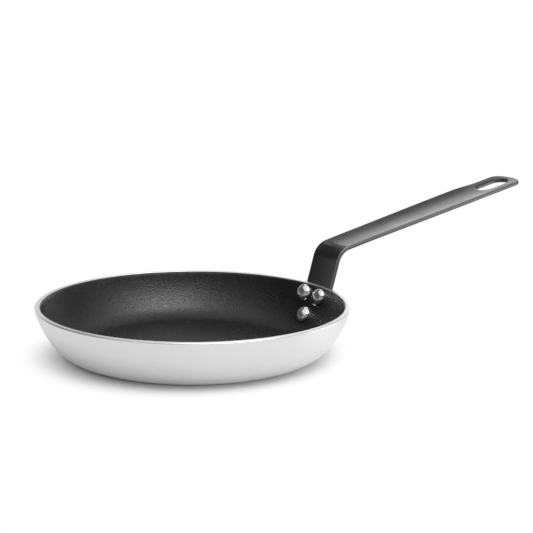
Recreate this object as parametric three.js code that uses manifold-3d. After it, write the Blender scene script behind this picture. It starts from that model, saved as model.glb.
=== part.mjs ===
// Frying pan: a pressed aluminium dish with a black non-stick lining, and a bent steel strip handle
// held on the outside of the wall by three solid rivets.
// Millimetres, +Z up. The origin is the centre of the flat base, on the surface that the pan stands on,
// and the handle points along +X.
import * as THREE from "three";
import { mergeVertices } from "three/addons/utils/BufferGeometryUtils.js";
import Module from "manifold-3d";

const wasm = await Module();
wasm.setup();

const degrees = THREE.MathUtils.degToRad;

// Dish
const RIM_DIAMETER = 240;
const PAN_HEIGHT = 38.8;
const WALL_THICKNESS = 4;
const HEEL_RADIUS = 28; // outside, where the base turns up into the wall
const WALL_RADIUS = 75; // outside, the gentle curve of the wall in profile
const RIM_LEAN = degrees(14.3); // how far the wall leans out from the vertical at the rim
const RIM_OUTER_ROUND = 1;
const RIM_INNER_ROUND = 0.4;
const LINING_THICKNESS = 0.3;

// Fits
const SEAT_CLEARANCE = 0.3; // between pieces that are clamped together
const HOLE_CLEARANCE = 0.3; // round each rivet's shank

// Rivets: two side by side near the rim and one below them, each square to the wall
const RIVET_SHANK_DIAMETER = 7;
const RIVET_HEAD_DIAMETER = 14.8; // the domed head inside the dish
const RIVET_HEAD_HEIGHT = 4.1;
const RIVET_TAIL_DIAMETER = 11.5; // the flatter head formed on the handle
const RIVET_TAIL_HEIGHT = 3;
const RIVET_PAIR_SPACING = 20.4;
const RIVET_PAIR_HEIGHT = 29.2; // where the axes cross the outside of the wall
const RIVET_LOWER_HEIGHT = 13.3;

// Handle strip
const STRIP_THICKNESS = 3.4;
const STRIP_EDGE_ROUND = 0.9;
const NECK_LEAN = degrees(17); // lean of the straight neck, out from the vertical
const SHOULDER_HEIGHT = 68.2; // where the straight lines of neck and grip would meet
const BEND_INNER_RADIUS = 12;
const GRIP_RISE = degrees(11.4); // slope of the grip above the horizontal
const GRIP_LENGTH = 201; // from that meeting point to the tip
const PAD_FOOT = 8; // how far the riveted pad reaches below the lower rivet
const PAD_FOOT_WIDTH = 24;
const PAD_WIDTH = 39;
const NECK_WIDTH = 31.2;
const GRIP_WIDTH = 35.2;
const TIP_WIDTH = 32.4;
const PAD_FOOT_BULGE = 16; // radius of the arc across the end of the pad
const PAD_FOOT_CORNER = 6;
const TIP_BULGE = 26; // and across the tip
const TIP_CORNER = 9;
const NECK_DISH_RADIUS = 120; // radius of the hollow across the strip: shallow at the neck,
const GRIP_DISH_RADIUS = 100; // a gutter along the grip
const TIP_DISH_RADIUS = 160; // and flatter again at the tip
const GUTTER_START = 32; // along the grip from the meeting point, where the gutter is full
const GUTTER_END = 50; // before the tip, where it starts to fade
const TIP_FLAT = 26; // length of the flat end that holds the hanging slot
const WIDEST_AT = 148; // along the grip, where it is widest

// Hanging slot
const SLOT_LENGTH = 31.5;
const SLOT_WIDTH = 16.5;
const SLOT_END_LAND = 6.6; // metal left between the slot and the tip

// Facets
const ROUND_STEPS = 64;
const HEEL_STEPS = 5;
const WALL_STEPS = 4;
const ROUND_CORNER_STEPS = 2;
const RIVET_ROUND_STEPS = 20;
const RIVET_DOME_STEPS = 5;
const CUT_STEPS = 20;
const ACROSS_STEPS = 6;
const END_SHARES = [0.03, 0.09, 0.18, 0.3, 0.45, 0.62, 0.8]; // slices of a rounded end

// The outside of the dish in profile is two arcs, heel and wall, tangent to each other, to the base and to
// the rim's lean. An arc's angle is measured from straight down, so 0 is on the base.
const rimRadius = RIM_DIAMETER / 2;
const wallCentre = new THREE.Vector2(
  rimRadius - WALL_RADIUS * Math.cos(RIM_LEAN),
  PAN_HEIGHT + WALL_RADIUS * Math.sin(RIM_LEAN),
);
const heelSweep = Math.acos((wallCentre.y - HEEL_RADIUS) / (WALL_RADIUS - HEEL_RADIUS));
const heelCentre = new THREE.Vector2(
  wallCentre.x + (WALL_RADIUS - HEEL_RADIUS) * Math.sin(heelSweep),
  HEEL_RADIUS,
);

function onArc(centre, radius, angle) {
  return new THREE.Vector2(centre.x + radius * Math.sin(angle), centre.y - radius * Math.cos(angle));
}

function arc(centre, radius, from, to, steps) {
  return Array.from({ length: steps + 1 }, (_, i) =>
    onArc(centre, radius, from + ((to - from) * i) / steps),
  );
}

// The dish's surface at a depth below its outside, from the edge of the flat base up to the rim's plane.
function dishProfile(depth) {
  const rimAngle = Math.acos((wallCentre.y - PAN_HEIGHT) / (WALL_RADIUS - depth));
  return [
    ...arc(heelCentre, HEEL_RADIUS - depth, 0, heelSweep, HEEL_STEPS),
    ...arc(wallCentre, WALL_RADIUS - depth, heelSweep, rimAngle, WALL_STEPS).slice(1),
  ];
}

// Replaces the corner between two straight edges by an arc.
function roundCorner(before, corner, after, radius) {
  const toBefore = before.clone().sub(corner).normalize();
  const toAfter = after.clone().sub(corner).normalize();
  const half = Math.acos(toBefore.dot(toAfter)) / 2;
  const middle = toBefore.clone().add(toAfter).normalize();
  const centre = corner.clone().addScaledVector(middle, radius / Math.sin(half));
  const start = corner.clone().addScaledVector(toBefore, radius / Math.tan(half)).sub(centre);
  const turn = (Math.PI - 2 * half) * Math.sign(toAfter.cross(toBefore));
  return Array.from({ length: ROUND_CORNER_STEPS + 1 }, (_, i) =>
    start.clone().rotateAround(new THREE.Vector2(), (turn * i) / ROUND_CORNER_STEPS).add(centre),
  );
}

// A solid of revolution about Z from a closed profile of (radius, height) points.
function revolve(points, steps) {
  return new THREE.LatheGeometry(points, steps).rotateX(Math.PI / 2);
}

function toSolid(geometry) {
  const bare = geometry.clone();
  bare.deleteAttribute("normal");
  bare.deleteAttribute("uv");
  const merged = mergeVertices(bare, 1e-4);
  return new wasm.Manifold(
    new wasm.Mesh({
      numProp: 3,
      vertProperties: merged.attributes.position.array,
      triVerts: new Uint32Array(merged.index.array),
    }),
  );
}

function toGeometry(solid) {
  const { vertProperties, triVerts } = solid.getMesh();
  const geometry = new THREE.BufferGeometry();
  geometry.setAttribute("position", new THREE.BufferAttribute(vertProperties, 3));
  geometry.setIndex(new THREE.BufferAttribute(triVerts, 1));
  const flat = geometry.toNonIndexed();
  flat.computeVertexNormals();
  return flat;
}

function cut(geometry, cutters) {
  return toGeometry(cutters.reduce((left, cutter) => left.subtract(toSolid(cutter)), toSolid(geometry)));
}

// Where a rivet's axis crosses the outside of the dish: the place in profile and the lean there.
function wallStation(height) {
  const onHeel = height < onArc(heelCentre, HEEL_RADIUS, heelSweep).y;
  const [centre, radius] = onHeel ? [heelCentre, HEEL_RADIUS] : [wallCentre, WALL_RADIUS];
  const angle = Math.acos((centre.y - height) / radius);
  return { point: onArc(centre, radius, angle), lean: Math.PI / 2 - angle, angle };
}

// A rivet's frame: its origin on the outside of the wall, +Z pointing square through it into the dish.
function rivetPlacement(height, sideways) {
  const { point, lean } = wallStation(height);
  const place = new THREE.Object3D();
  place.rotation.set(0, lean - Math.PI / 2, Math.asin(sideways / point.x), "ZYX");
  place.position.set(point.x * Math.cos(place.rotation.z), sideways, point.y);
  place.updateMatrix();
  return place;
}

const rivets = [
  { name: "rivet_upper_left", place: rivetPlacement(RIVET_PAIR_HEIGHT, RIVET_PAIR_SPACING / 2) },
  { name: "rivet_upper_right", place: rivetPlacement(RIVET_PAIR_HEIGHT, -RIVET_PAIR_SPACING / 2) },
  { name: "rivet_lower", place: rivetPlacement(RIVET_LOWER_HEIGHT, 0) },
];

const stackInside = WALL_THICKNESS + LINING_THICKNESS;
const stackOutside = SEAT_CLEARANCE + STRIP_THICKNESS;

// One straight hole for each rivet, through the lining, the wall and the strip.
function rivetHoles() {
  const reach = 2 * (stackInside + stackOutside);
  return rivets.map(({ place }) =>
    new THREE.CylinderGeometry(
      RIVET_SHANK_DIAMETER / 2 + HOLE_CLEARANCE,
      RIVET_SHANK_DIAMETER / 2 + HOLE_CLEARANCE,
      reach,
      CUT_STEPS,
    )
      .rotateX(Math.PI / 2)
      .applyMatrix4(place.matrix),
  );
}

// Dish: base, heel, wall and a flat rim with eased edges
function panBody() {
  const outside = dishProfile(0);
  const inside = dishProfile(WALL_THICKNESS).reverse();
  const outerCorner = outside.pop();
  const innerCorner = inside.shift();
  const profile = [
    new THREE.Vector2(0, 0),
    ...outside,
    ...roundCorner(outside.at(-1), outerCorner, innerCorner, RIM_OUTER_ROUND),
    ...roundCorner(outerCorner, innerCorner, inside[0], RIM_INNER_ROUND),
    ...inside,
    new THREE.Vector2(0, WALL_THICKNESS),
  ];
  return cut(revolve(profile, ROUND_STEPS), rivetHoles());
}

// A layer of the dish between two depths below its outside, up to the rim's plane
function layer(outer, inner) {
  return revolve(
    [
      new THREE.Vector2(0, outer),
      ...dishProfile(outer),
      ...dishProfile(inner).reverse(),
      new THREE.Vector2(0, inner),
    ],
    ROUND_STEPS,
  );
}

// Lining: the non-stick film on the whole inside, from the floor up to where the rim's edge is eased
function lining() {
  const against = dishProfile(WALL_THICKNESS);
  const face = dishProfile(stackInside).reverse();
  const corner = against.pop();
  const outwards = corner.clone().setX(rimRadius);
  const rimEdge = roundCorner(outwards, corner, against.at(-1), RIM_INNER_ROUND).at(-1);
  face.shift();
  const profile = [
    new THREE.Vector2(0, WALL_THICKNESS),
    ...against,
    rimEdge,
    ...face,
    new THREE.Vector2(0, stackInside),
  ];
  return cut(revolve(profile, ROUND_STEPS), rivetHoles());
}

// Rivet: domed head inside, shank through the stack, flatter head on the handle.
// The domed head is trimmed to the curve of the wall that it is drawn up against.
function rivet(place) {
  const shank = RIVET_SHANK_DIAMETER / 2;
  const head = RIVET_HEAD_DIAMETER / 2;
  const tail = RIVET_TAIL_DIAMETER / 2;
  const headSeat = stackInside + SEAT_CLEARANCE;
  const tailSeat = -stackOutside - SEAT_CLEARANCE;
  const dome = (radius, height, base) =>
    Array.from({ length: RIVET_DOME_STEPS + 1 }, (_, i) => {
      const angle = (i / RIVET_DOME_STEPS) * (Math.PI / 2);
      const across = i < RIVET_DOME_STEPS ? radius * Math.cos(angle) : 0;
      return new THREE.Vector2(across, base + height * Math.sin(angle));
    });
  const headBlank = revolve(
    [
      new THREE.Vector2(0, headSeat / 2),
      new THREE.Vector2(head, headSeat / 2),
      ...dome(head, RIVET_HEAD_HEIGHT, headSeat),
    ],
    RIVET_ROUND_STEPS,
  );
  const body = revolve(
    [
      ...dome(tail, -RIVET_TAIL_HEIGHT, tailSeat).reverse(),
      new THREE.Vector2(shank, tailSeat),
      new THREE.Vector2(shank, headSeat + RIVET_HEAD_HEIGHT / 3),
      new THREE.Vector2(0, headSeat + RIVET_HEAD_HEIGHT / 3),
    ],
    RIVET_ROUND_STEPS,
  );
  const trimmed = toSolid(headBlank.applyMatrix4(place.matrix)).subtract(toSolid(layer(0, headSeat)));
  const whole = trimmed.add(toSolid(body.applyMatrix4(place.matrix)));
  return toGeometry(whole).applyMatrix4(place.matrix.clone().invert());
}

// The strip's inner face in side view: up the outside of the heel and wall, on along the straight neck,
// round the shoulder bend and out along the grip.
const bendRadius = BEND_INNER_RADIUS + STRIP_THICKNESS;
const bendSweep = Math.PI / 2 - NECK_LEAN - GRIP_RISE;
const neckDirection = new THREE.Vector2(Math.sin(NECK_LEAN), Math.cos(NECK_LEAN));
const gripDirection = new THREE.Vector2(Math.cos(GRIP_RISE), Math.sin(GRIP_RISE));
const neckStart = onArc(wallCentre, WALL_RADIUS + SEAT_CLEARANCE, Math.PI / 2 - NECK_LEAN);
const shoulder = neckStart
  .clone()
  .addScaledVector(neckDirection, (SHOULDER_HEIGHT - neckStart.y) / neckDirection.y);
const bendReach = bendRadius * Math.tan(bendSweep / 2);
const bendStart = shoulder.clone().addScaledVector(neckDirection, -bendReach);
const bendCentre = bendStart
  .clone()
  .add(new THREE.Vector2(neckDirection.y, -neckDirection.x).multiplyScalar(bendRadius));
const tip = shoulder.clone().addScaledVector(gripDirection, GRIP_LENGTH);

function stripLine() {
  const down = Math.PI / 2;
  const line = new THREE.Path();
  line.absarc(heelCentre.x, heelCentre.y, HEEL_RADIUS + SEAT_CLEARANCE, -down, heelSweep - down, false);
  line.absarc(
    wallCentre.x, wallCentre.y, WALL_RADIUS + SEAT_CLEARANCE, heelSweep - down, -NECK_LEAN, false,
  );
  line.lineTo(bendStart.x, bendStart.y);
  line.absarc(bendCentre.x, bendCentre.y, bendRadius, Math.PI - NECK_LEAN, down + GRIP_RISE, true);
  line.lineTo(tip.x, tip.y);
  return line;
}

// Distances along that line at which the strip's shape is set
const alongWall = (angle) =>
  (HEEL_RADIUS + SEAT_CLEARANCE) * Math.min(angle, heelSweep) +
  (WALL_RADIUS + SEAT_CLEARANCE) * Math.max(angle - heelSweep, 0);
const atLowerRivet = alongWall(wallStation(RIVET_LOWER_HEIGHT).angle);
const atRivetPair = alongWall(wallStation(RIVET_PAIR_HEIGHT).angle);
const atPadFoot = atLowerRivet - PAD_FOOT;
const atNeck = alongWall(Math.PI / 2 - NECK_LEAN);
const atBend = atNeck + bendStart.distanceTo(neckStart);
const atGrip = atBend + bendRadius * bendSweep;
const atTip = atGrip + GRIP_LENGTH - bendReach;
const atShoulder = atGrip - bendReach;

// Eases between values set at distances along the strip.
function eased(stops, distance) {
  const next = stops.findIndex(([at]) => at >= distance);
  if (next === 0) return stops[0][1];
  if (next < 0) return stops.at(-1)[1];
  const [from, low] = stops[next - 1];
  const [to, high] = stops[next];
  return low + (high - low) * THREE.MathUtils.smoothstep(distance, from, to);
}

const widthStops = [
  [atLowerRivet, PAD_FOOT_WIDTH],
  [atRivetPair, PAD_WIDTH],
  [atNeck, NECK_WIDTH],
  [atGrip, NECK_WIDTH],
  [atShoulder + WIDEST_AT, GRIP_WIDTH],
  [atTip - TIP_FLAT, TIP_WIDTH],
];

// The hollow across the strip, as half of its curvature: on the pad it is the dish's own roundness.
function hollow(distance, x, rise) {
  const half = (radius) => 1 / (2 * radius);
  const pad = rise / (2 * x);
  return eased(
    [
      [atNeck, pad],
      [atBend, half(NECK_DISH_RADIUS)],
      [atGrip, half(NECK_DISH_RADIUS)],
      [atShoulder + GUTTER_START, half(GRIP_DISH_RADIUS)],
      [atTip - GUTTER_END, half(GRIP_DISH_RADIUS)],
      [atTip - TIP_FLAT, half(TIP_DISH_RADIUS)],
    ],
    distance,
  );
}

// Both ends of the strip bulge to an arc, with rounded corners. The reach of an end is its distance from the
// corner's centre, where the strip is first at its full width.
function endReach(half, bulge, corner) {
  return bulge - Math.sqrt((bulge - corner) ** 2 - (half - corner) ** 2);
}

function endHalfWidth(gap, half, bulge, corner) {
  const reach = endReach(half, bulge, corner);
  const meeting = bulge - ((bulge - reach) * bulge) / (bulge - corner);
  if (gap >= reach) return half;
  if (gap >= meeting) return half - corner + Math.sqrt(corner ** 2 - (reach - gap) ** 2);
  return Math.sqrt(bulge ** 2 - (bulge - Math.max(gap, 0)) ** 2);
}

const padFootEnd = [PAD_FOOT_WIDTH / 2, PAD_FOOT_BULGE, PAD_FOOT_CORNER];
const tipEnd = [TIP_WIDTH / 2, TIP_BULGE, TIP_CORNER];

function halfWidth(distance) {
  const fromFoot = distance - atPadFoot;
  const fromTip = atTip - distance;
  if (fromFoot < endReach(...padFootEnd)) return endHalfWidth(fromFoot, ...padFootEnd);
  if (fromTip < endReach(...tipEnd)) return endHalfWidth(fromTip, ...tipEnd);
  return eased(widthStops, distance) / 2;
}

// Where the strip is sliced: close together round the ends and bends, wider along the grip
function stripStations() {
  const even = (from, to, steps) =>
    Array.from({ length: steps }, (_, i) => from + ((to - from) * i) / steps);
  const footReach = endReach(...padFootEnd);
  const tipReach = endReach(...tipEnd);
  return [
    ...END_SHARES.map((share) => atPadFoot + share * footReach),
    ...even(atPadFoot + footReach, atNeck, 6),
    ...even(atNeck, atBend, 3),
    ...even(atBend, atGrip, 7),
    ...even(atGrip, atTip - GUTTER_END, 9),
    ...even(atTip - GUTTER_END, atTip - TIP_FLAT, 4),
    ...even(atTip - TIP_FLAT, atTip - tipReach, 3),
    atTip - tipReach,
    ...END_SHARES.toReversed().map((share) => atTip - share * tipReach),
  ];
}

// One slice of the strip: across (sideways) and off its inner face (towards the dish, or up on the grip)
function stripSlice(half, hollowness) {
  const round = STRIP_EDGE_ROUND;
  const flat = half - round;
  const slope = Math.SQRT1_2 * round;
  const across = Array.from({ length: ACROSS_STEPS + 1 }, (_, i) => flat * ((2 * i) / ACROSS_STEPS - 1));
  const raised = (side, off) => new THREE.Vector2(side, off + hollowness * side ** 2);
  const edge = [
    [flat + slope, slope - round],
    [half, -round],
    [half, round - STRIP_THICKNESS],
    [flat + slope, round - slope - STRIP_THICKNESS],
  ];
  return [
    ...across.map((side) => raised(side, 0)),
    ...edge.map(([side, off]) => raised(side, off)),
    ...across.map((side) => raised(-side, -STRIP_THICKNESS)),
    ...edge.map(([side, off]) => raised(-side, -STRIP_THICKNESS - off)),
  ];
}

// A closed skin through rings of equal point counts, with flat ends.
function loft(rings, flatRing) {
  const count = rings[0].length;
  const index = [];
  for (let r = 0; r + 1 < rings.length; r++) {
    for (let i = 0; i < count; i++) {
      const a = r * count + i;
      const b = r * count + ((i + 1) % count);
      index.push(a, a + count, b, b, a + count, b + count);
    }
  }
  const last = (rings.length - 1) * count;
  const ringWay = THREE.ShapeUtils.isClockWise(flatRing);
  for (const face of THREE.ShapeUtils.triangulateShape(flatRing, [])) {
    const faceWay = THREE.ShapeUtils.isClockWise(face.map((i) => flatRing[i]));
    const [a, b, c] = faceWay === ringWay ? face : [...face].reverse();
    index.push(a, b, c, last + a, last + c, last + b);
  }
  const geometry = new THREE.BufferGeometry().setFromPoints(rings.flat());
  geometry.setIndex(index);
  return geometry;
}

function hangingSlot() {
  const round = SLOT_WIDTH / 2;
  const straight = SLOT_LENGTH / 2 - round;
  const outline = new THREE.Shape();
  outline.absarc(straight, 0, round, -Math.PI / 2, Math.PI / 2, false);
  outline.absarc(-straight, 0, round, Math.PI / 2, (3 * Math.PI) / 2, false);
  const depth = 6 * STRIP_THICKNESS;
  const middle = tip.clone().addScaledVector(gripDirection, -SLOT_END_LAND - SLOT_LENGTH / 2);
  return new THREE.ExtrudeGeometry(outline, { depth, bevelEnabled: false, curveSegments: CUT_STEPS / 2 })
    .translate(0, 0, -depth / 2)
    .rotateY(-GRIP_RISE)
    .translate(middle.x, 0, middle.y);
}

// Handle: one strip of steel, dished along the grip and wrapped to the wall at its riveted pad
function handleStrip() {
  const line = stripLine();
  const length = line.getLength();
  const slices = [];
  const rings = stripStations().map((distance) => {
    const share = Math.min(1, distance / length);
    const at = line.getPoint(share);
    const along = line.getTangent(share);
    const slice = stripSlice(halfWidth(distance), hollow(distance, at.x, along.y));
    slices.push(slice);
    return slice.map(({ x, y }) => new THREE.Vector3(at.x - y * along.y, x, at.y + y * along.x));
  });
  return cut(loft(rings, slices[0]), [...rivetHoles(), hangingSlot()]);
}

// Finishes
const spunAluminium = new THREE.MeshStandardMaterial({ color: 0xc9cacb, roughness: 0.38, metalness: 1 });
const nonStick = new THREE.MeshStandardMaterial({ color: 0x242425, roughness: 0.5, metalness: 0 });
const blackSteel = new THREE.MeshStandardMaterial({ color: 0x2c2d2e, roughness: 0.42, metalness: 0 });
const rivetMetal = new THREE.MeshStandardMaterial({ color: 0xd2d2d0, roughness: 0.22, metalness: 1 });

function piece(name, geometry, material) {
  const mesh = new THREE.Mesh(geometry, material);
  mesh.name = name;
  return mesh;
}

const pan = new THREE.Group();
pan.name = "frying_pan";

const dish = new THREE.Group();
dish.add(piece("pan_body", panBody(), spunAluminium));
dish.add(piece("nonstick_lining", lining(), nonStick));
pan.add(dish);

const handle = new THREE.Group();
handle.add(piece("handle_strip", handleStrip(), blackSteel));
for (const { name, place } of rivets) {
  const mesh = piece(name, rivet(place), rivetMetal);
  mesh.position.copy(place.position);
  mesh.rotation.copy(place.rotation);
  handle.add(mesh);
}
pan.add(handle);

export default pan;
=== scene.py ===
"""Frying pan: a spun aluminium dish with a black non-stick film, a bent strip handle and three rivets.

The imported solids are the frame. Each class below rebuilds one sub-assembly as a fine mesh in the same
place, in metres, +Z up, with the handle along +X, and dresses it with a procedural finish.
"""

import logging
import math
from collections.abc import Mapping, Sequence
from dataclasses import dataclass, field
from enum import Enum
from typing import Any

import bmesh
import bpy
from mathutils import Euler, Matrix, Vector
from mathutils.geometry import delaunay_2d_cdt


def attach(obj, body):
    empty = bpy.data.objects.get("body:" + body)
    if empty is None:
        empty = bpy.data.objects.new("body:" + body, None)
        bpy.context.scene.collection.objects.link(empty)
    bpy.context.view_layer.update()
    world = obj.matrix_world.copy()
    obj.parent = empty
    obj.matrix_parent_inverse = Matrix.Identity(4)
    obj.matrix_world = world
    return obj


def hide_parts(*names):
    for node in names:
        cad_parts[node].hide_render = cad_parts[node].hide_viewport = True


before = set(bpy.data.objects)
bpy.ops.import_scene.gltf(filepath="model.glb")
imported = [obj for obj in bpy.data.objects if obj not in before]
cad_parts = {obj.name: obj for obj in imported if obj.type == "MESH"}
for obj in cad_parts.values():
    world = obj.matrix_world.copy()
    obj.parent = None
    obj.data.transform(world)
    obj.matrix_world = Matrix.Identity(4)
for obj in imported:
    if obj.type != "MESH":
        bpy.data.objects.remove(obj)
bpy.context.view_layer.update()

LOG = logging.getLogger("frying_pan")
MM = 0.001
BODY = "root"
EDGE_GLINT = "edge_wear"  # the strip's own attribute: how strongly its near upper edge is painted as a glint of pale steel
TURN = "turn"  # the rivet places' own attribute: which way each rivet points
# Both geometry trees take these, each with its kind of socket
TURNED_INPUTS = {"Profile points": "Int", "Steps around": "Int", "Material": "Material"}
COLOUR_A, COLOUR_B, COLOUR_RESULT = 6, 7, 2  # a mix node's colour sockets, whose names aren't unique
NOISE_RANGE = (0.3, 0.7)  # where nearly all of a noise texture's values lie
WHITE = (1.0, 1.0, 1.0, 1.0)
RIGHT, BACK, FRONT = 0.0, 90.0, -90.0  # ways from the pan in the studio, in degrees
NEAR_FLOOR = ((0.26, 0.06),)  # a glow's heights: it begins 15 degrees up and is full 3 degrees up
SEAM_GAP = 1e-6  # metres, within which the points of a turned skin are one
DOUBLE_GAP = 1e-7  # metres, within which the points of a finished mesh are one
SLIVER = 1e-8  # metres, the length up to which an edge is taken out
Flat = tuple[float, float]


class RivetPlace(Enum):
    """The three rivets by the solid that each one stands for."""

    UPPER_LEFT = "rivet_upper_left"
    UPPER_RIGHT = "rivet_upper_right"
    LOWER = "rivet_lower"


class Slot(Enum):
    """The record's material slots."""

    DISH = "spun_aluminium"
    FILM = "nonstick_film"
    STRIP = "black_coated_steel"
    RIVET = "rivet_aluminium"


def linear(hex_colour: str) -> tuple[float, float, float, float]:
    """Turn an sRGB hex colour into linear light.

    Args:
        hex_colour: six hex digits, such as "c8c9ca".

    Returns:
        Red, green, blue and an alpha of 1.
    """
    shares = [int(hex_colour[i : i + 2], 16) / 255 for i in (0, 2, 4)]
    light = [c / 12.92 if c <= 0.04045 else ((c + 0.055) / 1.055) ** 2.4 for c in shares]
    return light[0], light[1], light[2], 1.0


def add_node(
    tree: bpy.types.NodeTree, kind: str, inputs: Mapping[Any, Any] | None = None, **settings: Any
) -> bpy.types.Node:
    """Add one node with its settings and links.

    Args:
        tree: the node tree that gets the node.
        kind: the node's Blender type name.
        inputs: input name or number to a constant, to the socket that feeds it, or to the node whose
            first output does.
        settings: the node's own properties.

    Returns:
        The new node.
    """
    node = tree.nodes.new(kind)
    for name, value in settings.items():
        setattr(node, name, value)
    for key, value in (inputs or {}).items():
        if isinstance(value, bpy.types.Node):
            tree.links.new(value.outputs[0], node.inputs[key])
        elif isinstance(value, bpy.types.NodeSocket):
            tree.links.new(value, node.inputs[key])
        else:
            node.inputs[key].default_value = value
    return node


def new_material(name: str) -> tuple[bpy.types.Material, bpy.types.NodeTree, bpy.types.NodeSocket]:
    """Start a node material.

    Args:
        name: the material's name.

    Returns:
        The material, its node tree, and the socket that gives the place on the piece.
    """
    material = bpy.data.materials.new(name)
    material.use_nodes = True
    tree = material.node_tree
    tree.nodes.clear()
    return material, tree, add_node(tree, "ShaderNodeTexCoord").outputs["Object"]


def shown(name: str, mesh: bpy.types.Mesh) -> bpy.types.Object:
    """Link a mesh into the scene as an object at the origin.

    Args:
        name: the object's name.
        mesh: its mesh.

    Returns:
        The new object.
    """
    piece = bpy.data.objects.new(name, mesh)
    bpy.context.scene.collection.objects.link(piece)
    return piece


def tie(piece: bpy.types.Object, slot: Slot, *nodes: str) -> None:
    """Tie a finished piece to the solids that it stands for and to the body.

    Args:
        piece: the finished piece.
        slot: not used.
        nodes: the solids that it stands for.
    """
    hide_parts(*nodes)
    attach(piece, BODY)


def closed_outwards(mesh: bpy.types.Mesh) -> None:
    """Merge doubled points and turn every face outwards, with smooth shading.

    Args:
        mesh: the closed mesh to mend in place.
    """
    work = bmesh.new()
    work.from_mesh(mesh)
    bmesh.ops.remove_doubles(work, verts=work.verts, dist=DOUBLE_GAP)
    bmesh.ops.dissolve_degenerate(work, dist=SLIVER, edges=work.edges)
    bmesh.ops.recalc_face_normals(work, faces=work.faces)
    if work.calc_volume(signed=True) < 0:
        bmesh.ops.reverse_faces(work, faces=work.faces)
    for face in work.faces:
        face.smooth = True
    work.to_mesh(mesh)
    work.free()


def smoothstep(low: float, high: float, value: float) -> float:
    """Ease from 0 at low to 1 at high."""
    share = min(1.0, max(0.0, (value - low) / (high - low)))
    return share * share * (3 - 2 * share)


def eased(stops: Sequence[Flat], distance: float) -> float:
    """Ease between values that are set at distances.

    Args:
        stops: (distance, value) pairs in order.
        distance: where the value is wanted.

    Returns:
        The value there.
    """
    if distance <= stops[0][0]:
        return stops[0][1]
    for (start, low), (end, high) in zip(stops, stops[1:]):
        if distance <= end:
            return low + (high - low) * smoothstep(start, end, distance)
    return stops[-1][1]


def new_tree(name: str, inputs: Mapping[str, str], result: str) -> bpy.types.NodeTree:
    """Make an empty geometry tree with named inputs.

    Args:
        name: the tree's name.
        inputs: each input's name with its kind, such as "Int".
        result: the name of the geometry that it gives.

    Returns:
        The tree.
    """
    tree = bpy.data.node_groups.new(name, "GeometryNodeTree")
    for socket, kind in inputs.items():
        tree.interface.new_socket(socket, in_out="INPUT", socket_type="NodeSocket" + kind)
    tree.interface.new_socket(result, in_out="OUTPUT", socket_type="NodeSocketGeometry")
    return tree


def revolve_tree() -> bpy.types.NodeTree:
    """Build the node tree that turns a profile round the Z axis into a closed skin.

    Returns:
        A tree with the profile's points as geometry, and named inputs for its steps and material.
    """
    tree = new_tree("Turned on the Z axis", {"Profile": "Geometry", **TURNED_INPUTS}, "Skin")
    given = add_node(tree, "NodeGroupInput").outputs
    place = add_node(tree, "GeometryNodeInputPosition")
    last = add_node(tree, "ShaderNodeMath", {0: given["Profile points"], 1: 1.0}, operation="SUBTRACT")
    columns = add_node(tree, "ShaderNodeMath", {0: given["Steps around"], 1: 1.0}, operation="ADD")
    size = {"Vertices X": given["Profile points"], "Vertices Y": columns}
    grid = add_node(tree, "GeometryNodeMeshGrid", size)
    # The grid is one metre square about its middle: across it is the profile, along it is the turn
    axes = add_node(tree, "ShaderNodeSeparateXYZ", {0: place}).outputs
    share = add_node(tree, "ShaderNodeMath", {0: axes["X"], 1: 0.5}, operation="ADD")
    scaled = add_node(tree, "ShaderNodeMath", {0: share, 1: last}, operation="MULTIPLY")
    row = add_node(tree, "ShaderNodeMath", {0: scaled}, operation="ROUND")
    angle = add_node(tree, "ShaderNodeMath", {0: axes["Y"], 1: math.tau}, operation="MULTIPLY")
    point = add_node(
        tree,
        "GeometryNodeSampleIndex",
        {"Geometry": given["Profile"], "Value": place, "Index": row},
        data_type="FLOAT_VECTOR",
        domain="POINT",
    )
    turning = {"Vector": point, "Angle": angle}
    turned = add_node(tree, "ShaderNodeVectorRotate", turning, rotation_type="Z_AXIS")
    moved = add_node(tree, "GeometryNodeSetPosition", {"Geometry": grid, "Position": turned})
    merged = add_node(tree, "GeometryNodeMergeByDistance", {"Geometry": moved, "Distance": SEAM_GAP})
    smooth = add_node(tree, "GeometryNodeSetShadeSmooth", {"Geometry": merged})
    real = add_node(tree, "GeometryNodeRealizeInstances", {"Geometry": smooth})
    painting = {"Geometry": real, "Material": given["Material"]}
    painted = add_node(tree, "GeometryNodeSetMaterial", painting)
    add_node(tree, "NodeGroupOutput", {"Skin": painted})
    return tree


def pattern_tree(revolve: bpy.types.NodeTree) -> bpy.types.NodeTree:
    """Build the node tree that sets one turned piece at each point of a pattern.

    Args:
        revolve: the tree that turns the piece's profile.

    Returns:
        A tree whose geometry is the pattern's points, each with its turn as an attribute.
    """
    inputs = {"Places": "Geometry", "Profile": "Object", **TURNED_INPUTS}
    tree = new_tree("Turned piece at each place", inputs, "Pieces")
    given = add_node(tree, "NodeGroupInput").outputs
    profile = add_node(tree, "GeometryNodeObjectInfo", {"Object": given["Profile"]})
    turning = {name: given[name] for name in TURNED_INPUTS}
    turning["Profile"] = profile.outputs["Geometry"]
    one = add_node(tree, "GeometryNodeGroup", turning, node_tree=revolve)
    turn = add_node(tree, "GeometryNodeInputNamedAttribute", {"Name": TURN}, data_type="FLOAT_VECTOR")
    placing = {"Points": given["Places"], "Instance": one, "Rotation": turn}
    placed = add_node(tree, "GeometryNodeInstanceOnPoints", placing)
    real = add_node(tree, "GeometryNodeRealizeInstances", {"Geometry": placed})
    painting = {"Geometry": real, "Material": given["Material"]}
    painted = add_node(tree, "GeometryNodeSetMaterial", painting)
    add_node(tree, "NodeGroupOutput", {"Pieces": painted})
    return tree


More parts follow.
